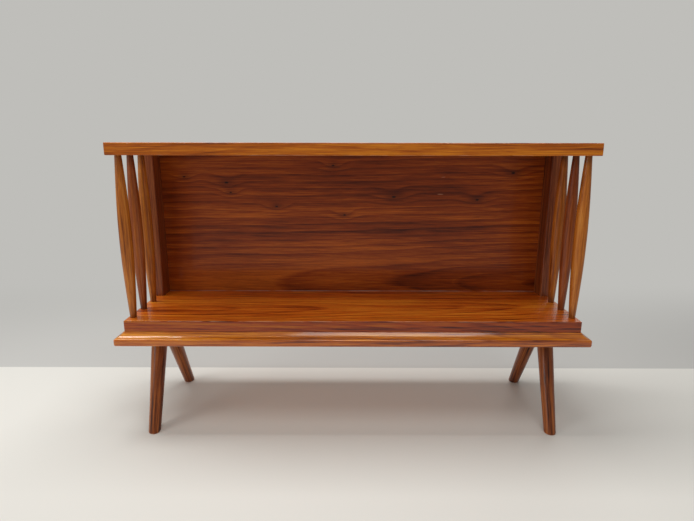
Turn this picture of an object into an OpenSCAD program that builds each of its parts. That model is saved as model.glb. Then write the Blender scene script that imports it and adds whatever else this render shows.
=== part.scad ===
/* [Top board] */
// Width of the top board, end to end
board_w = 950; // [700:1:1200]
// Depth of the top board, front to back
board_d = 252; // [244:1:340]
// Thickness of the top board
board_t = 24; // [20:0.5:36]
// Width of the small chamfer along every edge of the boards
edge_ease = 1.5; // [0.5:0.1:3]

/* [Shelf] */
// Width of the shelf board
shelf_w = 950; // [700:1:1200]
// Depth of the shelf board
shelf_d = 234; // [210:1:330]
// Thickness of the shelf board
shelf_t = 24; // [20:0.5:36]
// Clear height between the shelf and the top board
bay_h = 336; // [240:1:420]

/* [Moulded base board] */
// How far the base board stands out beyond the shelf on every side
base_over = 17.5; // [12:0.5:30]
// Height of the base board's rounded edge
base_edge = 16; // [12:0.5:24]
// Height of the hollow slope that runs up from the edge to the shelf
base_rise = 10; // [6:0.5:16]
// Radius of the edge's upper and lower corners
base_round = 4; // [2:0.5:6]
// Depth of the hollow in the slope, measured from a straight bevel
base_hollow = 1.6; // [0.5:0.1:3]

/* [Spindles] */
// Number of spindles at each end
spindle_count = 3; // [2:1:3]
// Diameter of a spindle at the middle of its height
spindle_mid_d = 25.6; // [18:0.2:30]
// Diameter of a spindle where it meets a board
spindle_end_d = 13.2; // [11:0.2:18]
// Distance between the spindle centres along the depth
spindle_pitch = 55.5; // [40:0.5:56]
// Distance from the shelf's front edge to the first spindle's centre
spindle_front = 25.5; // [14:0.5:40]
// Distance from the shelf's end to the spindle centres
spindle_inset = 11; // [9:0.5:30]
// Diameter of the round tenon on each end of a spindle
spindle_tenon_d = 9; // [7:0.2:10]
// Length of that tenon
spindle_tenon_l = 14; // [10:0.5:16]

/* [Back panel and stiles] */
// Thickness of the back panel
panel_t = 8; // [6:0.5:9]
// Distance from the shelf's back edge to the panel's back face
panel_back = 2.5; // [1:0.5:4]
// How deep the panel sits in its grooves
groove_l = 6; // [4:0.5:8]
// Width of each rear stile
stile_w = 20; // [18:0.5:36]
// Depth of each rear stile
stile_d = 55; // [40:0.5:60]
// Length of the square tenon on each end of a stile
stile_tenon_l = 14; // [10:0.5:16]
// Width of the shoulder on each side of that tenon across the rack
stile_shoulder_x = 5; // [3:0.5:6]
// Depth of that tenon, ahead of the panel's groove
stile_tenon_d = 30; // [16:0.5:34]

/* [Legs] */
// Height of the base board's underside above the floor
leg_h = 200; // [120:1:260]
// Angle by which each leg leans out to the front or the back
leg_splay = 27; // [10:0.5:28]
// Angle by which each leg leans outward to its own end, from the foot up
leg_cant = 2.3; // [0:0.1:4]
// Distance from the rack's middle to a foot's centre, front to back
foot_y = 123; // [110:1:140]
// Distance from the base board's end to a foot's centre
foot_inset = 63.5; // [50:0.5:120]
// Diameter of a leg where it meets its block
leg_top_d = 35; // [30:0.5:42]
// Diameter of a leg at the floor
leg_foot_d = 25; // [18:0.5:32]
// Diameter of the round tenon on top of a leg
leg_tenon_d = 20; // [14:0.5:24]
// Length of the block that carries a pair of legs
block_l = 144; // [136:1:180]
// Width of that block
block_w = 56; // [46:1:80]
// Thickness of that block
block_t = 20; // [16:0.5:24]
// Chamfer along the block's lower edges
block_ease = 3; // [1:0.5:4]

/* [Screws] */
// Shank diameter of the countersunk wood screws
screw_d = 4; // [3:0.1:5]
// Head diameter of those screws
screw_head_d = 8; // [7:0.1:9]
// Length of a screw that holds a leg block
block_screw_l = 34; // [28:1:36]
// Length of a screw that holds the base board to the shelf
base_screw_l = 40; // [34:1:44]
// Distance from a block's end to its screws
block_screw_end = 10; // [8:0.5:11]
// Distance from a block's centre line to its screws
block_screw_side = 18; // [14:0.5:20]
// Distance from the rack's middle to the outer base screws
base_screw_x = 355; // [200:1:360]
// Distance from the base board's long edge to the base screws
base_screw_edge = 50; // [36:1:80]
// Number of base screws in each row
base_screw_count = 4; // [2:1:6]

/* [Fits] */
// Clearance on the radius of round tenons and screws
round_fit = 0.1; // [0.05:0.01:0.2]
// Clearance at each side of the panel and of square tenons
flat_fit = 0.1; // [0.05:0.01:0.3]
// Room beyond the end of a tenon, a screw or the panel's edge
end_fit = 0.5; // [0.3:0.1:1.5]

/* [Hidden] */
SIDES = [["left", -1], ["right", 1]];
ENDS = [["front", -1], ["rear", 1]];

$fn = 64;
// Cuts run this far past the face they open
over = 1;
// Steps in a spindle's swelling curve
swell_steps = 32;
// Steps in a quarter round, and in the hollow of the slope
arc_steps = 5;
hollow_steps = 8;

// Heights, from the floor up
block_z = leg_h - block_t;
base_t = base_edge + base_rise;
shelf_z = leg_h + base_t;
bay_z = shelf_z + shelf_t;
board_z = bay_z + bay_h;

base_w = shelf_w + 2 * base_over;
base_d = shelf_d + 2 * base_over;
foot_x = base_w / 2 - foot_inset;

// The end pieces stand on whichever of the two boards is narrower
end_x = min(shelf_w, board_w) / 2;
spindle_x = end_x - spindle_inset;
spindle_y0 = -shelf_d / 2 + spindle_front;

stile_x = end_x - stile_w / 2;
stile_y = shelf_d / 2 - stile_d / 2;
stile_front = shelf_d / 2 - stile_d;
panel_y = shelf_d / 2 - panel_back - panel_t / 2;
panel_w = 2 * (end_x - stile_w + groove_l);

// Each block lies over the points where its legs' axes reach the base board
block_x = foot_x + leg_h * tan(leg_cant);
// Length of a leg's axis from the floor to the underside of its block
leg_axis_l = block_z / cos(leg_splay) / cos(leg_cant);
screw_head_h = (screw_head_d - screw_d) / 2;
slot_w = 1.2;
slot_deep = 1.2;

// A box centred on X and Y that stands on z = 0, with every edge chamfered by c
module eased_box(l, d, t, c) {
    intersection() {
        rotate([90, 0, 90]) translate([0, 0, -l / 2]) linear_extrude(l) eased_rect(d, t, c);
        rotate([90, 0, 0]) translate([0, 0, -d / 2]) linear_extrude(d) eased_rect(l, t, c);
        linear_extrude(t) translate([0, -d / 2]) eased_rect(l, d, c);
    }
}

// A rectangle centred on X that stands on y = 0, with its corners cut by c
module eased_rect(w, h, c) {
    polygon([
        [-w / 2 + c, 0], [w / 2 - c, 0], [w / 2, c], [w / 2, h - c],
        [w / 2 - c, h], [-w / 2 + c, h], [-w / 2, h - c], [-w / 2, c]
    ]);
}

// Half of the base board's moulded outline: points from the underside up to the shelf,
// x measured from the middle of a section of half width h
function corner(cx, cy, a0, a1) =
    [for (i = [0:arc_steps]) let (a = a0 + (a1 - a0) * i / arc_steps)
        [cx + base_round * cos(a), cy + base_round * sin(a)]];
function slope(x0, y0, x1, y1) =
    [for (i = [1:hollow_steps]) let (u = i / hollow_steps)
        [x0 + (x1 - x0) * u, y0 + (y1 - y0) * u - base_hollow * sin(180 * u)]];
function moulding(h) = concat(
    corner(h - base_round, base_round, -90, 0),
    corner(h - base_round, base_edge - base_round, 0, 90),
    slope(h - base_round, base_edge, h - base_over, base_t)
);
function mirrored(points) =
    [for (i = [len(points) - 1:-1:0]) [-points[i][0], points[i][1]]];

module moulded_section(w) {
    half = moulding(w / 2);
    polygon(concat(half, mirrored(half)));
}

// A bore of radius r, from z0 up to z1, open at whichever end the caller runs past
module bore(r, z0, z1) {
    translate([0, 0, z0]) cylinder(r = r, h = z1 - z0);
}

module at_spindles() {
    for (s = SIDES, i = [0:spindle_count - 1])
        translate([s[1] * spindle_x, spindle_y0 + i * spindle_pitch, 0]) children();
}

// Square tenon of a stile, grown by g on each side
module stile_tenon(z, l, g) {
    w = stile_w - 2 * stile_shoulder_x;
    translate([-w / 2 - g, stile_front + over - g, z])
        cube([w + 2 * g, stile_tenon_d + 2 * g, l]);
}

module at_stiles() {
    for (s = SIDES) translate([s[1] * stile_x, 0, 0]) children();
}

// The groove in a board that takes the panel's long edge
module panel_groove(z, l) {
    translate([-panel_w / 2 - end_fit, panel_y - panel_t / 2 - flat_fit, z])
        cube([panel_w + 2 * end_fit, panel_t + 2 * flat_fit, l]);
}

module at_block_screws() {
    for (s = SIDES, x = [-1, 1], y = [-1, 1])
        translate([s[1] * block_x + x * block_screw_side, y * (block_l / 2 - block_screw_end), block_z])
            children();
}

module at_base_screws() {
    step = 2 * base_screw_x / (base_screw_count - 1);
    for (i = [0:base_screw_count - 1], y = [-1, 1])
        translate([-base_screw_x + i * step, y * (base_d / 2 - base_screw_edge), leg_h]) children();
}

// A countersunk wood screw that points up, its head flush at z = 0
module screw(l) {
    difference() {
        rotate_extrude() polygon([
            [0, 0], [screw_head_d / 2, 0], [screw_d / 2, screw_head_h],
            [screw_d / 2, l - screw_d], [0, l]
        ]);
        translate([-screw_head_d, -slot_w / 2, -over]) cube([2 * screw_head_d, slot_w, slot_deep + over]);
    }
}

// The hole for such a screw
module screw_hole(l) {
    rotate_extrude() polygon([
        [0, -over], [screw_head_d / 2 + round_fit, -over], [screw_head_d / 2 + round_fit, round_fit],
        [screw_d / 2 + round_fit, screw_head_h + round_fit], [screw_d / 2 + round_fit, l + end_fit],
        [0, l + end_fit]
    ]);
}

module top_board() {
    color("peru")
    difference() {
        translate([0, 0, board_z]) eased_box(board_w, board_d, board_t, edge_ease);
        at_spindles() bore(spindle_tenon_d / 2 + round_fit, board_z - over, board_z + spindle_tenon_l + end_fit);
        at_stiles() stile_tenon(board_z - over, stile_tenon_l + end_fit + over, flat_fit);
        panel_groove(board_z - over, groove_l + end_fit + over);
    }
}

module shelf_board() {
    color("sienna")
    difference() {
        translate([0, 0, shelf_z]) eased_box(shelf_w, shelf_d, shelf_t, edge_ease);
        at_spindles() bore(spindle_tenon_d / 2 + round_fit, bay_z - spindle_tenon_l - end_fit, bay_z + over);
        at_stiles() stile_tenon(bay_z - stile_tenon_l - end_fit, stile_tenon_l + end_fit + over, flat_fit);
        panel_groove(bay_z - groove_l - end_fit, groove_l + end_fit + over);
        at_base_screws() screw_hole(base_screw_l);
    }
}

module base_board() {
    color("chocolate")
    difference() {
        intersection() {
            translate([0, base_d / 2, leg_h]) rotate([90, 0, 0]) linear_extrude(base_d) moulded_section(base_w);
            translate([-base_w / 2, 0, leg_h]) rotate([90, 0, 90]) linear_extrude(base_w) moulded_section(base_d);
        }
        at_base_screws() screw_hole(base_screw_l);
        at_block_screws() screw_hole(block_screw_l);
    }
}

module back_panel() {
    color("saddlebrown")
    translate([-panel_w / 2, panel_y - panel_t / 2, bay_z - groove_l])
        cube([panel_w, panel_t, bay_h + 2 * groove_l]);
}

module stile(side) {
    inner = side * (end_x - stile_w);
    color("brown")
    union() {
        difference() {
            translate([side * stile_x, stile_y, bay_z]) linear_extrude(bay_h)
                translate([0, -stile_d / 2]) eased_rect(stile_w, stile_d, edge_ease);
            translate([inner - groove_l - end_fit, panel_y - panel_t / 2 - flat_fit, bay_z - over])
                cube([2 * (groove_l + end_fit), panel_t + 2 * flat_fit, bay_h + 2 * over]);
        }
        translate([side * stile_x, 0, 0]) stile_tenon(bay_z - stile_tenon_l, stile_tenon_l + over, 0);
        translate([side * stile_x, 0, 0]) stile_tenon(board_z - over, stile_tenon_l + over, 0);
    }
}

// A turned spindle on z = 0, thickest at half its height, with a round tenon at each end
module spindle() {
    r_end = spindle_end_d / 2;
    r_mid = spindle_mid_d / 2;
    r_tenon = spindle_tenon_d / 2;
    swell = [for (i = [0:swell_steps]) let (u = i / swell_steps)
        [r_end + (r_mid - r_end) * sin(180 * u), bay_h * u]];
    color("goldenrod")
    rotate_extrude() polygon(concat(
        [[0, -spindle_tenon_l], [r_tenon, -spindle_tenon_l], [r_tenon, 0]],
        swell,
        [[r_tenon, bay_h], [r_tenon, bay_h + spindle_tenon_l], [0, bay_h + spindle_tenon_l]]
    ));
}

// Places its children along the axis of a leg, z = 0 at the floor
module along_leg(side, end) {
    translate([side * foot_x, end * foot_y, 0]) rotate([end * leg_splay, side * leg_cant, 0]) children();
}

module leg_block(side) {
    color("saddlebrown")
    difference() {
        translate([side * block_x, 0, block_z])
            intersection() {
                rotate([90, 0, 0]) translate([0, 0, -block_l / 2]) linear_extrude(block_l)
                    lower_eased_rect(block_w, block_t, block_ease);
                rotate([90, 0, 90]) translate([0, 0, -block_w / 2]) linear_extrude(block_w)
                    lower_eased_rect(block_l, block_t, block_ease);
            }
        for (e = ENDS)
            along_leg(side, e[1]) bore(leg_tenon_d / 2 + round_fit, leg_axis_l - block_t, leg_axis_l + 3 * block_t);
        at_block_screws() screw_hole(block_screw_l);
    }
}

// A rectangle centred on X that stands on y = 0, with its two lower corners cut by c
module lower_eased_rect(w, h, c) {
    polygon([[-w / 2 + c, 0], [w / 2 - c, 0], [w / 2, c], [w / 2, h], [-w / 2, h], [-w / 2, c]]);
}

// A tapered round leg, cut level at the floor and under its block, with its tenon in the block
module leg(side, end) {
    taper = (leg_top_d - leg_foot_d) / 2 / leg_axis_l;
    low = -leg_top_d;
    high = leg_axis_l + leg_top_d;
    color("saddlebrown")
    union() {
        intersection() {
            along_leg(side, end) rotate_extrude() polygon([
                [0, low], [leg_foot_d / 2 + taper * low, low], [leg_foot_d / 2 + taper * high, high], [0, high]
            ]);
            translate([side * foot_x - leg_top_d, -base_d, 0]) cube([2 * leg_top_d, 2 * base_d, block_z]);
        }
        intersection() {
            along_leg(side, end) bore(leg_tenon_d / 2, leg_axis_l - block_t, leg_axis_l + 3 * block_t);
            translate([side * foot_x - leg_top_d, -base_d, block_z - over])
                cube([2 * leg_top_d, 2 * base_d, block_t + over]);
        }
    }
}

module leg_block_screws() {
    color("darkkhaki") at_block_screws() screw(block_screw_l);
}

module base_screws() {
    color("darkkhaki") at_base_screws() screw(base_screw_l);
}

top_board();
shelf_board();
base_board();
back_panel();
for (s = SIDES)
    stile(s[1]);
for (s = SIDES, i = [1:spindle_count])
    translate([s[1] * spindle_x, spindle_y0 + (i - 1) * spindle_pitch, bay_z]) spindle();
for (s = SIDES)
    leg_block(s[1]);
for (e = ENDS, s = SIDES)
    leg(s[1], e[1]);
leg_block_screws();
base_screws();
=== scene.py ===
"""Magazine rack: the visible model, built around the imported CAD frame. Metres throughout."""

import math

import bpy
from mathutils import Matrix, Vector, noise


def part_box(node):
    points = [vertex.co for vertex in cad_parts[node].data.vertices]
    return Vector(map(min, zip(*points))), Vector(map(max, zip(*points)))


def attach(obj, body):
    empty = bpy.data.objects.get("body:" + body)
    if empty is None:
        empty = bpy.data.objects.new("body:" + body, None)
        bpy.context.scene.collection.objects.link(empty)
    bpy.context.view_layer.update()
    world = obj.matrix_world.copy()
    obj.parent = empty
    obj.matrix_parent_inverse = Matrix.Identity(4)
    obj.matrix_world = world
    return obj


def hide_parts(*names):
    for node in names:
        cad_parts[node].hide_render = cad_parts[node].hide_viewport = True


MM = 0.001

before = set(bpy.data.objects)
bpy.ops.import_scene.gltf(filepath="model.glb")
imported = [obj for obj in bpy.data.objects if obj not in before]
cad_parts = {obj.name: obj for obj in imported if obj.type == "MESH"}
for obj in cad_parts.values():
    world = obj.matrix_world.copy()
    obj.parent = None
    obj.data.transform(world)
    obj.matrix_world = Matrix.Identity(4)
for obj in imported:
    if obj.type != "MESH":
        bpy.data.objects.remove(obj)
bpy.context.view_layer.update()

# The clear height between the shelf and the top board
BAY_Z0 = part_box("shelf_board")[1].z
BAY_Z1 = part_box("top_board")[0].z

# Wood tones, as 8-bit sRGB: dark, middle and light
TOP_TONES = ((84, 32, 4), (184, 100, 20), (228, 148, 44))
SHELF_TONES = ((112, 34, 6), (218, 102, 18), (250, 156, 44))
BASE_TONES = ((112, 42, 4), (204, 110, 8), (240, 156, 30))
PANEL_TONES = ((74, 20, 3), (152, 66, 12), (208, 112, 30))
STILE_TONES = ((66, 26, 10), (124, 58, 24), (160, 88, 42))
GOLDEN_TONES = ((116, 54, 12), (186, 106, 32), (220, 146, 58))
RUSSET_TONES = ((88, 34, 12), (150, 74, 28), (186, 108, 48))
LEG_TONES = ((58, 22, 8), (132, 66, 26), (178, 102, 46))
BLOCK_TONES = ((48, 18, 8), (92, 42, 18), (124, 66, 32))
WORN_TONE = (224, 170, 138)
KNOT_TONE = (30, 12, 8)
POLISH_TONE = (176, 148, 136)
# The colour of the painted shade at the spindles' ends
PAINTED_SHADE_TONE = (46, 18, 8)
SCRATCH_TONE = (236, 178, 142)
BRASS_TONE = (176, 140, 78)
TARNISH_TONE = (92, 66, 38)
FLOOR_TONE = (226, 224, 217)
FLOOR_CLOUD_TONE = (219, 217, 210)
BACK_TONE = (191, 190, 186)


# ---------------------------------------------------------------- node helpers

def linear(rgb):
    """An 8-bit sRGB colour as linear RGBA."""
    def channel(c):
        c = c / 255
        return c / 12.92 if c <= 0.04045 else ((c + 0.055) / 1.055) ** 2.4
    return tuple(channel(c) for c in rgb) + (1.0,)


class Tree:
    """A material's or world's node tree, built by function calls that return sockets."""

    def __init__(self, owner):
        owner.use_nodes = True
        self.nodes = owner.node_tree.nodes
        self.links = owner.node_tree.links
        self.nodes.clear()

    def add(self, kind, inputs=None, **settings):
        """A new node; an input that is a socket is linked, and anything else is set."""
        node = self.nodes.new(kind)
        for key, value in settings.items():
            setattr(node, key, value)
        for key, value in (inputs or {}).items():
            if isinstance(value, bpy.types.NodeSocket):
                self.links.new(value, node.inputs[key])
            else:
                node.inputs[key].default_value = value
        return node

    def math(self, operation, *values, clamp=False):
        inputs = dict(enumerate(values))
        return self.add("ShaderNodeMath", inputs, operation=operation, use_clamp=clamp).outputs[0]

    def vector(self, operation, *values, out=0):
        inputs = dict(enumerate(values))
        return self.add("ShaderNodeVectorMath", inputs, operation=operation).outputs[out]

    def noise(self, place, stretch, detail=2.0, rough=0.5):
        """Noise with stretch cycles per metre along each axis."""
        scaled = self.vector("MULTIPLY", place, stretch)
        inputs = {"Vector": scaled, "Scale": 1.0, "Detail": detail, "Roughness": rough}
        return self.add("ShaderNodeTexNoise", inputs).outputs["Fac"]

    def centred(self, value, gain):
        """A 0 to 1 value moved to run either side of zero, times gain."""
        return self.math("MULTIPLY", self.math("SUBTRACT", value, 0.5), gain)

    def total(self, *values):
        result = values[0]
        for value in values[1:]:
            result = self.math("ADD", result, value)
        return result

    def range(self, value, low, high, to_low=0.0, to_high=1.0):
        """A smooth step between low and high, which may run downwards."""
        inputs = {"Value": value, "From Min": low, "From Max": high,
                  "To Min": to_low, "To Max": to_high}
        return self.add("ShaderNodeMapRange", inputs, interpolation_type="SMOOTHSTEP").outputs[0]

    def ramp(self, value, stops):
        node = self.add("ShaderNodeValToRGB", {"Fac": value})
        elements = node.color_ramp.elements
        while len(elements) < len(stops):
            elements.new(0.5)
        for element, (position, colour) in zip(elements, stops):
            element.position = position
            element.color = colour
        return node.outputs["Color"]

    def mix(self, factor, a, b, blend="MIX"):
        node = self.add("ShaderNodeMix", data_type="RGBA", blend_type=blend)
        for index, value in ((0, factor), (6, a), (7, b)):
            if isinstance(value, bpy.types.NodeSocket):
                self.links.new(value, node.inputs[index])
            else:
                node.inputs[index].default_value = value
        return node.outputs[2]


# ---------------------------------------------------------------- wood

# One growth ring, from early to late wood: how far across it, and how late the wood is there
RING_PROFILE = ((0.0, 0.0), (0.40, 0.15), (0.72, 0.65), (0.86, 1.0), (1.0, 0.0))
RING_MEAN = 0.42

# Noise cycles per metre along the grain, across the face and into the wood
SWAY_STRETCH = (1.3, 4.0, 4.0)
DIP_STRETCH = (2.1, 3.0, 3.0)
RIPPLE_STRETCH = (6.0, 22.0, 22.0)
FIBRE_STRETCH = (16.0, 430.0, 430.0)
STREAK_STRETCH = (4.0, 210.0, 210.0)
BLOTCH_STRETCH = (2.6, 9.0, 9.0)
PORE_STRETCH = (48.0, 1500.0, 1500.0)
PATCH_STRETCH = (26.0, 90.0, 90.0)
YEAR_STRETCH = (0.73, 1.0, 1.0)  # cycles per ring, not per metre
SEED_SHIFT = (3.17, 1.31, 2.73)  # how far one step of the seed moves the noise

# Where each noise starts to show and where it shows in full
PORE_RANGE = (0.60, 0.72)
WEAR_RANGE = (0.36, 0.62)
PORE_DARKENS = 0.4
WEAR_PALES = 0.75
TONE_STOPS = (0.12, 0.5, 0.88)  # tones at which the dark, middle and light colours lie

# Shares in the surface's roughness and in its relief
ROUGH_SHARES = {"fibres": 0.10, "blotch": 0.12, "wear": 0.25, "pores": 0.12}
RELIEF_SHARES = {"fibres": 0.35, "streaks": 0.35, "late": 0.12, "pores": -0.5, "spot": -0.6}
RELIEF_DEPTH = 0.4 * MM
COAT_ROUGHNESS = 0.10
SPECULAR = 0.25

# A knot, in its own radii: where its core, its halo and its push on the grain begin and peak
KNOT_CORE = (0.75, 0.2)
KNOT_HALO = (3.0, 0.4)
KNOT_PUSH = (6.0, 0.0)
KNOT_SQUEEZE = 0.5  # a knot is twice as long as it is wide
HALO_DEPTH = 0.35
PUSH_RINGS = 0.8


def grey_stops(profile):
    return [(position, (value, value, value, 1.0)) for position, value in profile]


def grain_place(tree, grain):
    """Coordinates in metres: along the grain, across the face, into the wood."""
    if grain == "carried":
        return tree.add("ShaderNodeAttribute", attribute_name="wood").outputs["Vector"]
    place = tree.add("ShaderNodeTexCoord").outputs["Object"]
    split = tree.add("ShaderNodeSeparateXYZ", {0: place}).outputs
    order = {"x": (0, 2, 1), "z": (2, 0, 1)}[grain]
    joined = {slot: split[axis] for slot, axis in enumerate(order)}
    return tree.add("ShaderNodeCombineXYZ", joined).outputs[0]


def knot_field(tree, place, knots):
    """Strength of the dark spots, and how far each pushes the grain aside."""
    spot, push = 0.0, 0.0
    for along, across, size in knots:
        squeezed = tree.vector("MULTIPLY", place, (KNOT_SQUEEZE, 1.0, 0.0))
        centre = (along * KNOT_SQUEEZE, across, 0.0)
        apart = tree.vector("DISTANCE", squeezed, centre, out=1)
        core, near, moved = (
            tree.range(apart, size * start, size * peak)
            for start, peak in (KNOT_CORE, KNOT_HALO, KNOT_PUSH)
        )
        halo = tree.math("MULTIPLY", near, HALO_DEPTH)
        spot = tree.math("MAXIMUM", spot, tree.math("MAXIMUM", core, halo))
        push = tree.math("ADD", push, tree.math("MULTIPLY", moved, PUSH_RINGS))
    return spot, push


def ring_field(tree, place, noisy, look):
    """Growth rings counted outwards from a pith that leans across the piece."""
    along, face, inward = tree.add("ShaderNodeSeparateXYZ", {0: place}).outputs[:3]
    sway = tree.centred(tree.noise(noisy, SWAY_STRETCH, 1.0), look["sway"])
    ripple = tree.centred(tree.noise(noisy, RIPPLE_STRETCH, 2.0), look["ripple"])
    dip = tree.centred(tree.noise(noisy, DIP_STRETCH, 1.0), look["sway"])
    face_lean = tree.math("MULTIPLY", along, look["lean"][0])
    inward_lean = tree.math("MULTIPLY", along, look["lean"][1])
    across = tree.total(
        tree.math("SUBTRACT", face, look["pith"][0]), face_lean, sway, ripple,
    )
    deep = tree.total(tree.math("SUBTRACT", inward, look["pith"][1]), inward_lean, dip)
    squares = tree.math("ADD", tree.math("POWER", across, 2.0), tree.math("POWER", deep, 2.0))
    return tree.math("DIVIDE", tree.math("SQRT", squares), look["ring"])


# A timber's look where wood() is told nothing else. The pith is where the rings' centre lies,
# ring is a ring's width, and each gain says how far that pattern moves the tone.
LOOK = {
    "grain": "carried", "seed": 1.0, "pith": (0.02, -0.07), "lean": (0.02, 0.03), "ring": 0.007,
    "sway": 0.05, "ripple": 0.006, "band_stretch": (1.6, 60.0, 60.0),
    "ring_gain": 0.20, "fibre_gain": 1.1, "streak_gain": 1.5, "band_gain": 0.7,
    "blotch_gain": 0.6, "year_gain": 0.25,
    "rough": 0.36, "coat": 0.25, "bump": 0.35, "knots": (), "grime": None, "edge_tint": None,
}


def wood(name, tones, **changes):
    """A varnished timber: rings, fibres, pores, blotches, knots and worn arrises.
    A marks function takes the colour and returns it with real marks or painted shade; a painted
    side shade multiplies it on the side faces."""
    look = {**LOOK, **changes}
    material = bpy.data.materials.new(name)
    tree = Tree(material)
    place = grain_place(tree, look["grain"])
    noisy = tree.vector("ADD", place, tuple(look["seed"] * shift for shift in SEED_SHIFT))
    spot, push = knot_field(tree, place, look["knots"])
    rings = tree.math("ADD", ring_field(tree, place, noisy, look), push)
    late = tree.ramp(tree.math("FRACT", rings), grey_stops(RING_PROFILE))
    year_place = tree.add("ShaderNodeCombineXYZ", {0: tree.math("FLOOR", rings)}).outputs[0]
    year = tree.noise(year_place, YEAR_STRETCH, 0.0)
    fibres = tree.noise(noisy, FIBRE_STRETCH, 3.0, 0.6)
    streaks = tree.noise(noisy, STREAK_STRETCH, 3.0, 0.6)
    bands = tree.noise(noisy, look["band_stretch"], 2.0, 0.55)
    blotch = tree.noise(noisy, BLOTCH_STRETCH, 2.0)
    pores = tree.range(tree.noise(noisy, PORE_STRETCH, 1.0), *PORE_RANGE)
    tone = tree.total(
        0.5,
        tree.math("MULTIPLY", tree.math("SUBTRACT", RING_MEAN, late), look["ring_gain"]),
        tree.centred(fibres, look["fibre_gain"]),
        tree.centred(streaks, look["streak_gain"]),
        tree.centred(bands, look["band_gain"]),
        tree.centred(blotch, look["blotch_gain"]),
        tree.centred(year, look["year_gain"]),
    )
    colours = [linear(t) for t in tones]
    colour = tree.ramp(tone, tuple(zip(TONE_STOPS, colours)))
    colour = tree.mix(tree.math("MULTIPLY", pores, PORE_DARKENS), colour, colours[0])
    colour = tree.mix(spot, colour, linear(KNOT_TONE))
    # Real marks on the panel, and painted shade at the spindles' ends
    if look["grime"]:
        colour = look["grime"](tree, place, noisy, colour)
    # Painted shade: the side faces are multiplied by a darker tint than the top faces get.
    if look["edge_tint"]:
        on_edge = tree.add("ShaderNodeAttribute", attribute_name="edge").outputs["Fac"]
        side_shaded = tree.mix(1.0, colour, (*look["edge_tint"], 1.0), blend="MULTIPLY")
        colour = tree.mix(on_edge, colour, side_shaded)
    wear_edge = tree.add("ShaderNodeAttribute", attribute_name="wear").outputs["Fac"]
    patchy = tree.noise(noisy, PATCH_STRETCH, 2.0, 0.6)
    wear = tree.range(tree.math("MULTIPLY", wear_edge, patchy), *WEAR_RANGE)
    colour = tree.mix(tree.math("MULTIPLY", wear, WEAR_PALES), colour, linear(WORN_TONE))
    rough = tree.total(
        look["rough"],
        tree.centred(fibres, ROUGH_SHARES["fibres"]),
        tree.centred(blotch, ROUGH_SHARES["blotch"]),
        tree.math("MULTIPLY", wear, ROUGH_SHARES["wear"]),
        tree.math("MULTIPLY", pores, ROUGH_SHARES["pores"]),
    )
    patterns = {"fibres": fibres, "streaks": streaks, "late": late, "pores": pores, "spot": spot}
    height = tree.total(*(
        tree.math("MULTIPLY", pattern, RELIEF_SHARES[kind]) for kind, pattern in patterns.items()
    ))
    relief = tree.add("ShaderNodeBump", {
        "Height": height, "Strength": look["bump"], "Distance": RELIEF_DEPTH,
    })
    surface = tree.add("ShaderNodeBsdfPrincipled", {
        "Base Color": colour, "Roughness": rough, "Normal": relief.outputs[0],
        "Coat Weight": look["coat"], "Coat Roughness": COAT_ROUGHNESS,
        "Specular IOR Level": SPECULAR,
    })
    tree.add("ShaderNodeOutputMaterial", {"Surface": surface.outputs[0]})
    return material


# ---------------------------------------------------------------- meshes

SHARP = math.radians(34)  # faces that meet at more than this keep a crisp edge
HEAD_SHOWS = 0.2 * MM  # how far screw heads stand proud of the undersides that hold them
BOARD_COUNTS = (190, 48, 4)  # steps along a board's length, its depth and round each corner
BOARD_CORNER = 1.6 * MM
LEAST_CORNER = 0.25 * MM
EDGE_LOSS = 0.25 * MM  # the most that wear takes off an edge, about
# Side faces within this band of the outline get a painted shade, darker than the top faces.
EDGE_BAND = 1.0 * MM  # surface within this of a board's outline counts as its edge
SLOW_WEAR, FAST_WEAR = 14, 70  # cycles per metre of an edge's wear
CAP_INSET = 2.2  # where the flat faces start, in radii of the arris


def make_piece(name, points, faces, wood_places, wear, material, nodes, edge=()):
    """A smooth-shaded mesh that stands for CAD nodes. Each point carries its place in the grain,
    how worn it is and whether it lies on the piece's edge, where painted shade darkens the side
    faces."""
    mesh = bpy.data.meshes.new(name)
    mesh.from_pydata(points, [], faces)
    mesh.validate()
    grain = mesh.attributes.new("wood", "FLOAT_VECTOR", "POINT")
    grain.data.foreach_set("vector", [c for p in wood_places for c in p])
    edge_wear = mesh.attributes.new("wear", "FLOAT", "POINT")
    edge_wear.data.foreach_set("value", wear)
    if edge:
        side_shade_mask = mesh.attributes.new("edge", "FLOAT", "POINT")
        side_shade_mask.data.foreach_set("value", edge)
    mesh.shade_smooth()
    mesh.set_sharp_from_angle(angle=SHARP)
    mesh.materials.append(material)
    piece = bpy.data.objects.new(name, mesh)
    bpy.context.scene.collection.objects.link(piece)
    normals = piece.modifiers.new("flat_faces_lead", "WEIGHTED_NORMAL")
    normals.keep_sharp = True
    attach(piece, "root")
    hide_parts(*nodes)
    return piece


def side_points(half_x, half_y, corner, counts):
    """Points round a rectangle with rounded corners: front, right, back, then left."""
    long_steps, short_steps, corner_steps = counts
    points = []
    inner_x, inner_y = half_x - corner, half_y - corner
    ends = ((inner_x, -half_y), (half_x, inner_y), (-inner_x, half_y), (-half_x, -inner_y))
    corners = ((1, -1), (1, 1), (-1, 1), (-1, -1))
    for quarter, (end, (sx, sy)) in enumerate(zip(ends, corners)):
        steps = long_steps if quarter % 2 == 0 else short_steps
        start = (-inner_x, -half_y) if quarter == 0 else points[-1]
        first = 0 if quarter == 0 else 1
        for i in range(first, steps + 1):
            t = i / steps
            points.append(tuple(start[k] + (end[k] - start[k]) * t for k in (0, 1)))
        for i in range(1, corner_steps + 1):
            angle = math.radians(90 * (quarter - 1) + 90 * i / corner_steps)
            x = sx * inner_x + corner * math.cos(angle)
            y = sy * inner_y + corner * math.sin(angle)
            points.append((x, y))
    return points[:-1]


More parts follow.
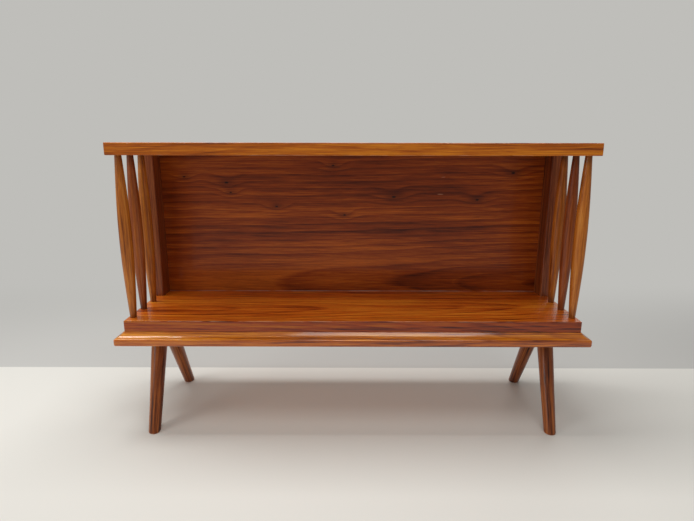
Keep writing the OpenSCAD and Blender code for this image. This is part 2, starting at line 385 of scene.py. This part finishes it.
def arris_loss(place, seed, strength):
    """How far wear has taken an edge in at this place."""
    slow = noise.noise(Vector((place[0] * SLOW_WEAR, place[1] * SLOW_WEAR, seed)))
    fast = noise.noise(Vector((place[0] * FAST_WEAR, place[1] * FAST_WEAR, seed + 9)))
    return strength * max(0.0, 0.45 + 0.5 * slow + 0.35 * fast)


def moulded_board(name, box, profile, material, seed, counts=BOARD_COUNTS,
                  corner=BOARD_CORNER, lift=0.0):
    """A board from its outline in steps: profile holds (inset, height, wear) from underneath up.
    The lift raises its underside, so that screw heads level with it show."""
    lo, hi = box
    half_x, half_y = (hi.x - lo.x) / 2, (hi.y - lo.y) / 2
    mid_x, mid_y = (hi.x + lo.x) / 2, (hi.y + lo.y) / 2
    points, wear, edge = [], [], []
    for inset, height, worn in profile:
        side_shade_mask = 1.0 if inset < EDGE_BAND else 0.0
        radius = max(corner - inset, LEAST_CORNER)
        ring = side_points(half_x - inset, half_y - inset, radius, counts)
        for x, y in ring:
            take = arris_loss((x, y), seed, EDGE_LOSS) * worn
            sx = (half_x - inset - take) / (half_x - inset)
            sy = (half_y - inset - take) / (half_y - inset)
            points.append((mid_x + x * sx, mid_y + y * sy, lo.z + max(height, lift)))
            wear.append(worn)
            edge.append(side_shade_mask)
    around = len(points) // len(profile)
    faces = wall_faces(len(profile), around)
    faces += cap_faces(0, counts, around, up=False)
    faces += cap_faces((len(profile) - 1) * around, counts, around, up=True)
    middle_z = (lo.z + hi.z) / 2
    places = [(x, y, z - middle_z) for x, y, z in points]
    nodes = [name.replace("_wood", "")]
    return make_piece(name, points, faces, places, wear, material, nodes, edge)


def wall_faces(levels, around):
    """Walls between rings of points, each ring holding around of them."""
    faces = []
    for level in range(levels - 1):
        base = level * around
        for i in range(around):
            j = (i + 1) % around
            faces.append((base + i, base + j, base + around + j, base + around + i))
    return faces


def cap_faces(base, counts, around, up):
    """A board's flat face: quads from front to back, and one face at each end."""
    long_steps, short_steps, corner_steps = counts
    back = long_steps + corner_steps + short_steps + corner_steps
    faces = []
    for i in range(long_steps):
        faces.append((i, i + 1, back + long_steps - i - 1, back + long_steps - i))
    faces.append(tuple(range(long_steps, back + 1)))
    faces.append(tuple(list(range(back + long_steps, around)) + [0]))
    faces = [tuple(base + i for i in face) for face in faces]
    return faces if up else [tuple(reversed(face)) for face in faces]


def low_arris(rounding, steps, most, least=0.0):
    """The rounded arris round a board's underside, most worn half way round."""
    for i in range(steps + 1):
        angle = math.radians(90 * i / steps)
        wear = math.sin(2 * angle) * most + least
        yield rounding * (1 - math.sin(angle)), rounding * (1 - math.cos(angle)), wear


def high_arris(top, rounding, steps, most, least=0.0):
    """The same arris the other way up, ending at the height top."""
    for i in range(steps + 1):
        angle = math.radians(90 * i / steps)
        wear = math.sin(2 * angle) * most + least
        yield rounding * (1 - math.cos(angle)), top - rounding * (1 - math.sin(angle)), wear


def rounded_profile(thick, low_round, high_round, steps=4):
    """A plain board's outline, both arrises rounded."""
    return [
        (low_round * CAP_INSET, 0.0, 0.0),
        *low_arris(low_round, steps, 0.9, 0.1),
        (0.0, thick * 0.5, 0.0),
        *high_arris(thick, high_round, steps, 0.9, 0.1),
        (high_round * CAP_INSET, thick, 0.0),
    ]


def base_profile():
    """The base board: a rounded edge band, then a slightly hollow slope up to the shelf."""
    band, rise, over, rounding, hollow = 16 * MM, 10 * MM, 17.5 * MM, 4 * MM, 1.6 * MM
    round_steps, slope_steps = 6, 10
    profile = [
        (rounding * 2, 0.0, 0.0),
        *low_arris(rounding, round_steps, 0.5),
        *high_arris(band, rounding, round_steps, 0.7),
    ]
    for i in range(1, slope_steps + 1):
        t = i / slope_steps
        inset = rounding + (over - rounding) * t
        profile.append((inset, band + rise * t - hollow * math.sin(math.pi * t), 0.0))
    profile.append((over + 6 * MM, band + rise, 0.0))
    return profile


def lathe_faces(levels, around):
    """A turned piece's walls, and a face over each end."""
    faces = wall_faces(levels, around)
    faces.append(tuple(reversed(range(around))))
    faces.append(tuple(range((levels - 1) * around, levels * around)))
    return faces


SINK = 1.0 * MM  # how far a turned piece runs into the wood it is set in

SPINDLES = 3  # at each end
SPINDLE_END_R = 6.6 * MM
TOOL_MARKS = 0.012  # unevenness of the turning, as a share of the radius
TOOL_MARKS_PER_M = 45


def spindle(name, material, seed):
    """One turned spindle, thickest at half its height, let into the boards at both ends."""
    lo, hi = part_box(name)
    centre = (lo + hi) / 2
    swell = (hi.x - lo.x) / 2 - SPINDLE_END_R
    levels, around = 72, 48
    points, places, wear = [], [], []
    z0, z1 = BAY_Z0 - SINK, BAY_Z1 + SINK
    for level in range(levels):
        z = z0 + (z1 - z0) * level / (levels - 1)
        t = min(1.0, max(0.0, (z - BAY_Z0) / (BAY_Z1 - BAY_Z0)))
        uneven = noise.noise(Vector((seed, 0.0, z * TOOL_MARKS_PER_M)))
        turned = TOOL_MARKS * (0.5 + 0.5 * uneven)
        radius = (SPINDLE_END_R + swell * math.sin(math.pi * t)) * (1 - turned)
        for i in range(around):
            angle = 2 * math.pi * i / around
            x, y = radius * math.cos(angle), radius * math.sin(angle)
            points.append((centre.x + x, centre.y + y, z))
            places.append((z - BAY_Z0, x, y))
            wear.append(0.0)
    faces = lathe_faces(levels, around)
    return make_piece(name + "_turned", points, faces, places, wear, material, [name])


LEG_FOOT_R = 12.5 * MM
LEG_TOP_R = 17.5 * MM
LEG_SPLAY = math.radians(27)
LEG_CANT = math.radians(2.3)
LEG_STEPS = 44
LEG_DENTS = 0.2 * MM
LEG_DENTS_PER_M = 22
FOOT_WEAR = 6 * MM  # height that the wear on a foot reaches
# The worn rim of a foot: height above the floor, and share of the radius that is left
FOOT_RIM = ((0.0, 0.90), (0.35 * MM, 0.945), (0.9 * MM, 0.972), (1.7 * MM, 0.99), (2.8 * MM, 1.0))


def leg(name, block, material, seed, end, side):
    """A tapered round leg cut level at the floor and under its block, its foot's rim worn round.
    The end is -1 at the front and 1 at the rear, and the side -1 on the left and 1 on the right.
    """
    lo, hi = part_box(name)
    block_lo, block_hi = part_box(block)
    top_z = block_lo.z
    axis = Vector((side * math.sin(LEG_CANT), -end * math.sin(LEG_SPLAY) * math.cos(LEG_CANT),
                   math.cos(LEG_SPLAY) * math.cos(LEG_CANT))).normalized()
    reach = top_z / axis.z
    e1 = axis.cross(Vector((0, 1, 0))).normalized()
    e2 = axis.cross(e1).normalized()
    slope = (LEG_TOP_R - LEG_FOOT_R) / reach

    def slice_at(z, foot, shrink, around=56):
        """A level ring at height z: its points, how far up the leg they lie, and which way out."""
        ring = []
        for i in range(around):
            angle = 2 * math.pi * i / around
            out = e1 * math.cos(angle) + e2 * math.sin(angle)
            s = (z - LEG_FOOT_R * out.z) / (axis.z + slope * out.z)
            place = foot + axis * s + out * (LEG_FOOT_R + slope * s)
            centre = foot + axis * (z / axis.z)
            ring.append((centre + (place - centre) * shrink, s, out))
        return ring

    free = slice_at(0.0, Vector((0, 0, 0)), 1.0)
    reach_y = max(abs(p.y) for p, _, _ in free)
    foot_y = (lo.y + reach_y) if end < 0 else (hi.y - reach_y)
    foot_x = (block_lo.x + block_hi.x) / 2 - axis.x / axis.z * block_hi.z
    foot = Vector((foot_x, foot_y, 0))
    rim_top = FOOT_RIM[-1][0]
    rises = list(FOOT_RIM)
    for i in range(1, LEG_STEPS + 1):
        rises.append((rim_top + (top_z + SINK - rim_top) * i / LEG_STEPS, 1.0))
    points, places, wear = [], [], []
    for z, shrink in rises:
        for p, s, out in slice_at(z, foot, shrink):
            spot = Vector((out.x * 1.5 + seed, out.y * 1.5, z * LEG_DENTS_PER_M))
            dent = LEG_DENTS * (1 + noise.noise(spot))
            level_out = Vector((out.x, out.y, 0.0)) * dent
            points.append(p - level_out)
            r = LEG_FOOT_R + slope * s
            places.append((s, r * out.dot(e1), r * out.dot(e2)))
            wear.append(max(0.0, 1.0 - z / FOOT_WEAR))
    around = len(points) // len(rises)
    faces = lathe_faces(len(rises), around)
    return make_piece(name + "_turned", points, faces, places, wear, material, [name])


# ---------------------------------------------------------------- build

BOARD_T = 24 * MM
BOARD_ARRIS = 1.5 * MM
BASE_CORNER = 4 * MM
BLOCK_LOW_ARRIS = 3 * MM
BLOCK_HIGH_ARRIS = 0.6 * MM
BLOCK_CORNER = 3 * MM
BLOCK_COUNTS = (12, 30, 3)


def build_boards():
    """The top board, the shelf and the moulded base board."""
    # Each board's edge tint is a painted shade that darkens its side faces below its top.
    top = wood("top_wood", TOP_TONES, seed=1.0, pith=(0.05, -0.11), lean=(0.03, 0.02),
               ring=0.008, streak_gain=1.1, fibre_gain=0.9, edge_tint=(0.92, 0.76, 0.4))
    shelf = wood("shelf_wood", SHELF_TONES, seed=2.0, pith=(-0.03, -0.07), lean=(-0.03, 0.04),
                 ring=0.008, ring_gain=0.26, coat=0.5, edge_tint=(0.50, 0.36, 0.1))
    base = wood("base_wood", BASE_TONES, seed=3.0, pith=(0.02, -0.10), lean=(0.02, -0.02),
                ring=0.008, coat=1.0, edge_tint=(0.80, 0.62, 0.3))
    plain = rounded_profile(BOARD_T, BOARD_ARRIS, BOARD_ARRIS)
    moulded_board("top_board_wood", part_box("top_board"), plain, top, seed=1.0)
    moulded_board("shelf_board_wood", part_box("shelf_board"), plain, shelf, seed=2.0)
    moulded_board("base_board_wood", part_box("base_board"), base_profile(), base,
                  seed=3.0, corner=BASE_CORNER, lift=HEAD_SHOWS)


def painted_end_shade(length, reach, depth):
    """Painted shade that deepens the colour towards both ends of a turned piece of this length,
    where it meets the boards.
    """
    def grime(tree, place, noisy, colour):
        along = tree.add("ShaderNodeSeparateXYZ", {0: place}).outputs[0]
        low = tree.range(along, reach, 0.0)
        high = tree.range(along, length - reach, length)
        near = tree.math("MAXIMUM", low, high)
        uneven = tree.total(0.6, tree.centred(tree.noise(noisy, (40.0, 60.0, 60.0), 2.0), 1.2))
        share = tree.math("MULTIPLY", tree.math("MULTIPLY", near, uneven), depth, clamp=True)
        return tree.mix(share, colour, linear(PAINTED_SHADE_TONE))
    return grime


def build_spindles():
    """Both rows of spindles, the middle one of each in a redder wood."""
    for side_index, side in enumerate(("left", "right")):
        for number in range(1, SPINDLES + 1):
            seed = 10.0 + side_index * SPINDLES + number
            tones = RUSSET_TONES if number == 2 else GOLDEN_TONES
            # Each spindle is darkened towards both ends with painted shade.
            material = wood(f"spindle_wood_{side}_{number}", tones, seed=seed, pith=(0.04, 0.02),
                            lean=(0.02, 0.01), ring=0.006, sway=0.01, ring_gain=0.1,
                            band_stretch=(2.2, 110.0, 110.0), streak_gain=0.8, fibre_gain=0.8,
                            grime=painted_end_shade(BAY_Z1 - BAY_Z0, 0.035, 0.9))
            spindle(f"{side}_spindle_{number}", material, seed)


def build_legs():
    """The leg blocks, and the pair of legs under each."""
    for side_index, side in enumerate(("left", "right")):
        block = f"{side}_leg_block"
        block_lo, block_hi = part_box(block)
        material = wood(f"block_wood_{side}", BLOCK_TONES, seed=30.0 + side_index, ring=0.006)
        profile = rounded_profile(block_hi.z - block_lo.z, BLOCK_LOW_ARRIS, BLOCK_HIGH_ARRIS)
        moulded_board(f"{block}_wood", (block_lo, block_hi), profile, material,
                      seed=30.0 + side_index, counts=BLOCK_COUNTS, corner=BLOCK_CORNER,
                      lift=HEAD_SHOWS)
        for end_index, end in enumerate(("front", "rear")):
            seed = 20.0 + side_index * 2 + end_index
            material = wood(f"leg_wood_{end}_{side}", LEG_TONES, seed=seed, pith=(0.03, 0.01),
                            lean=(0.03, 0.02), ring=0.007, sway=0.012, ring_gain=0.12,
                            band_stretch=(3.0, 120.0, 120.0), band_gain=1.1, blotch_gain=1.0)
            leg(f"{end}_{side}_leg", block, material, seed,
                end=2 * end_index - 1, side=2 * side_index - 1)


STILE_W = 20 * MM
# Knots in the panel: place as shares of its visible width and height, then radius in mm
PANEL_KNOTS = (
    (0.06, 0.84, 4.0), (0.17, 0.80, 5.5), (0.18, 0.73, 3.5), (0.30, 0.63, 4.0), (0.45, 0.92, 4.0),
    (0.48, 0.57, 4.0), (0.61, 0.70, 6.0), (0.83, 0.68, 5.0), (0.92, 0.87, 5.5),
)
# Two short pale scratches: place as above, then half length and half height in mm
PANEL_SCRATCHES = ((0.738, 0.84, 6.5, 0.9), (0.732, 0.72, 9.5, 1.1))
POLISH_LINE = (2.2 * MM, 1.0 * MM)  # heights over the shelf where dried polish ends and is full


def panel_marks(tree, place, noisy, colour):
    """Old scratches, and a line of dried polish where the panel meets the shelf."""
    broken = tree.noise(noisy, (160.0, 900.0, 1.0), 2.0, 0.7)
    for share_x, share_z, half_l, half_h in PANEL_SCRATCHES:
        x, z = on_panel(share_x, share_z)
        squeeze = half_h / half_l
        flat = tree.vector("MULTIPLY", place, (squeeze, 1.0, 0.0))
        apart = tree.vector("DISTANCE", flat, (x * squeeze, z, 0.0), out=1)
        mark = tree.math("MULTIPLY", tree.range(apart, half_h * MM, half_h * 0.4 * MM), broken)
        colour = tree.mix(mark, colour, linear(SCRATCH_TONE))
    height = tree.add("ShaderNodeSeparateXYZ", {0: place}).outputs[1]
    low = tree.range(height, BAY_Z0 + POLISH_LINE[0], BAY_Z0 + POLISH_LINE[1])
    patchy = tree.range(tree.noise(noisy, (9.0, 1.0, 1.0), 3.0, 0.7), 0.34, 0.66)
    return tree.mix(tree.math("MULTIPLY", low, patchy), colour, linear(POLISH_TONE))


def on_panel(share_x, share_z):
    """A place on the panel's visible face, between the stiles and the boards, as x and z."""
    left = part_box("left_stile")[0].x + STILE_W
    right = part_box("right_stile")[1].x - STILE_W
    return left + (right - left) * share_x, BAY_Z0 + (BAY_Z1 - BAY_Z0) * share_z


def build_panel():
    """The CAD panel and stiles, in their own woods."""
    knots = [(*on_panel(x, z), size * MM) for x, z, size in PANEL_KNOTS]
    panel = wood("panel_wood", PANEL_TONES, grain="x", seed=5.0, pith=(BAY_Z0 + 0.025, 0.16),
                 lean=(0.0, 0.05), ring=0.015, sway=0.05, ripple=0.010, ring_gain=0.22,
                 band_stretch=(1.4, 26.0, 26.0), band_gain=0.6, streak_gain=0.5, fibre_gain=0.75,
                 coat=0.2, knots=knots, grime=panel_marks)
    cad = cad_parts["back_panel"]
    cad.data.materials.clear()
    cad.data.materials.append(panel)
    for index, side in enumerate(("left", "right")):
        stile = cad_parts[f"{side}_stile"]
        material = wood(f"stile_wood_{side}", STILE_TONES, grain="z", seed=7.0 + index,
                        ring=0.006, coat=0.2)
        stile.data.materials.clear()
        stile.data.materials.append(material)


def build_screws():
    """The CAD screws, in aged brass."""
    material = bpy.data.materials.new("screw_brass")
    tree = Tree(material)
    place = tree.add("ShaderNodeTexCoord").outputs["Object"]
    tarnish = tree.noise(place, (240.0, 240.0, 240.0), 4.0, 0.6)
    colour = tree.mix(tarnish, linear(BRASS_TONE), linear(TARNISH_TONE))
    rough = tree.range(tarnish, 0.2, 0.8, to_low=0.3, to_high=0.6)
    relief = tree.add("ShaderNodeBump", {
        "Height": tarnish, "Strength": 0.3, "Distance": 0.2 * MM,
    })
    surface = tree.add("ShaderNodeBsdfPrincipled", {
        "Base Color": colour, "Metallic": 1.0, "Roughness": rough, "Normal": relief.outputs[0],
    })
    tree.add("ShaderNodeOutputMaterial", {"Surface": surface.outputs[0]})
    for name in ("leg_block_screws", "base_screws"):
        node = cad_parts[name]
        node.data.materials.clear()
        node.data.materials.append(material)


# ---------------------------------------------------------------- stage, light, camera

BACKDROP_Y = 0.199  # where the pale floor gives way to the backdrop's grey
BACKDROP_BLUR = 0.8 * MM  # half the width of that line
BACKDROP_FADE = 0.9  # depth over which the backdrop's shading fades out
FLOOR_REACH = 15.0
FLOOR_FADE = (1.1, 3.0)  # distances from the rack between which the floor turns plain
AMBIENT = 0.28


def build_stage():
    """A pale floor up to the backdrop's line and grey behind it. Far off, and behind the line,
    the camera sees the plain tone without shading, as on a studio sweep."""
    mesh = bpy.data.meshes.new("floor")
    r = FLOOR_REACH
    mesh.from_pydata([(-r, -r, 0), (r, -r, 0), (r, r, 0), (-r, r, 0)], [], [(0, 1, 2, 3)])
    floor = bpy.data.objects.new("floor", mesh)
    bpy.context.scene.collection.objects.link(floor)
    material = bpy.data.materials.new("floor_paint")
    tree = Tree(material)
    place = tree.add("ShaderNodeTexCoord").outputs["Object"]
    split = tree.add("ShaderNodeSeparateXYZ", {0: place}).outputs
    behind = tree.range(split[1], BACKDROP_Y - BACKDROP_BLUR, BACKDROP_Y + BACKDROP_BLUR)
    cloudy = tree.centred(tree.noise(place, (1.6, 1.6, 1.6), 3.0), 0.04)
    cloud_share = tree.math("ADD", 0.5, cloudy)
    floor_colour = tree.mix(cloud_share, linear(FLOOR_TONE), linear(FLOOR_CLOUD_TONE))
    colour = tree.mix(behind, floor_colour, linear(BACK_TONE))
    lit = tree.add("ShaderNodeBsdfPrincipled", {
        "Base Color": colour, "Roughness": 0.7, "Specular IOR Level": 0.2,
    })
    seen = tree.add("ShaderNodeLightPath").outputs["Is Camera Ray"]
    distant = tree.mix(behind, linear(FLOOR_TONE), linear(BACK_TONE))
    glow = tree.add("ShaderNodeEmission", {"Color": distant, "Strength": 1.0})
    away = tree.range(tree.vector("LENGTH", place, out=1), *FLOOR_FADE)
    deep = tree.range(split[1], BACKDROP_Y, BACKDROP_Y + BACKDROP_FADE)
    far = tree.math("MAXIMUM", away, deep)
    share = tree.math("MULTIPLY", far, seen)
    mixed = tree.add("ShaderNodeMixShader", {0: share, 1: lit.outputs[0], 2: glow.outputs[0]})
    tree.add("ShaderNodeOutputMaterial", {"Surface": mixed.outputs[0]})
    mesh.materials.append(material)


def build_world():
    """Soft light from all round; the camera sees the backdrop's grey."""
    world = bpy.data.worlds.new("room")
    bpy.context.scene.world = world
    tree = Tree(world)
    path = tree.add("ShaderNodeLightPath").outputs
    shown = path["Is Camera Ray"]
    room = tree.add("ShaderNodeBackground", {"Color": (1.0, 0.98, 0.96, 1.0), "Strength": AMBIENT})
    plain = tree.add("ShaderNodeBackground", {"Color": linear(BACK_TONE), "Strength": 1.0})
    mixed = tree.add("ShaderNodeMixShader", {0: shown, 1: room.outputs[0], 2: plain.outputs[0]})
    tree.add("ShaderNodeOutputWorld", {"Surface": mixed.outputs[0]})


# Each light: name, place, target, size and watts
LIGHTS = (
    ("ceiling", (-0.60, 0.15, 2.35), (-0.60, 0.15, 0.0), (1.9, 0.62), 38.0),
    ("key", (0.25, -0.95, 2.30), (0.0, 0.0, 0.3), (1.2, 0.8), 11.0),
    ("side", (-2.40, -1.50, 1.35), (0.0, 0.0, 0.3), (1.3, 1.2), 15.0),
    ("back_fill", (1.2, 2.4, 1.9), (0.0, 0.0, 0.3), (1.6, 1.2), 13.0),
)


def area_light(name, place, target, size, watts):
    data = bpy.data.lights.new(name, "AREA")
    data.shape = "RECTANGLE"
    data.size, data.size_y = size
    data.energy = watts
    lamp = bpy.data.objects.new(name, data)
    lamp.location = place
    lamp.rotation_euler = (Vector(target) - Vector(place)).to_track_quat("-Z", "Y").to_euler()
    bpy.context.scene.collection.objects.link(lamp)


# The camera that took the photograph, as fitted to the rack's corners and edges
CAMERA_PLACE = (-0.0094, -1.0978, 0.6024)
CAMERA_PITCH = math.radians(12.81)
CAMERA_YAW = math.radians(-0.13)
CAMERA_ROLL = math.radians(0.09)
CAMERA_LENS = 25.94
CAMERA_SENSOR = 36.0


def build_camera():
    """The fitted camera, turned by its pitch, yaw and roll."""
    forward = Vector((
        math.sin(CAMERA_YAW) * math.cos(CAMERA_PITCH),
        math.cos(CAMERA_YAW) * math.cos(CAMERA_PITCH),
        -math.sin(CAMERA_PITCH),
    ))
    level = forward.cross(Vector((0, 0, 1))).normalized()
    upright = level.cross(forward)
    right = level * math.cos(CAMERA_ROLL) + upright * math.sin(CAMERA_ROLL)
    up = right.cross(forward)
    data = bpy.data.cameras.new("camera")
    data.sensor_width = CAMERA_SENSOR
    data.lens = CAMERA_LENS
    camera = bpy.data.objects.new("camera", data)
    turn = Matrix((right, up, -forward)).transposed().to_4x4()
    camera.matrix_world = Matrix.Translation(CAMERA_PLACE) @ turn
    bpy.context.scene.collection.objects.link(camera)
    bpy.context.scene.camera = camera


bpy.context.scene.view_settings.view_transform = "Standard"
build_camera()
build_boards()
build_spindles()
build_legs()
build_panel()
build_screws()
build_stage()
build_world()
for light in LIGHTS:
    area_light(*light)
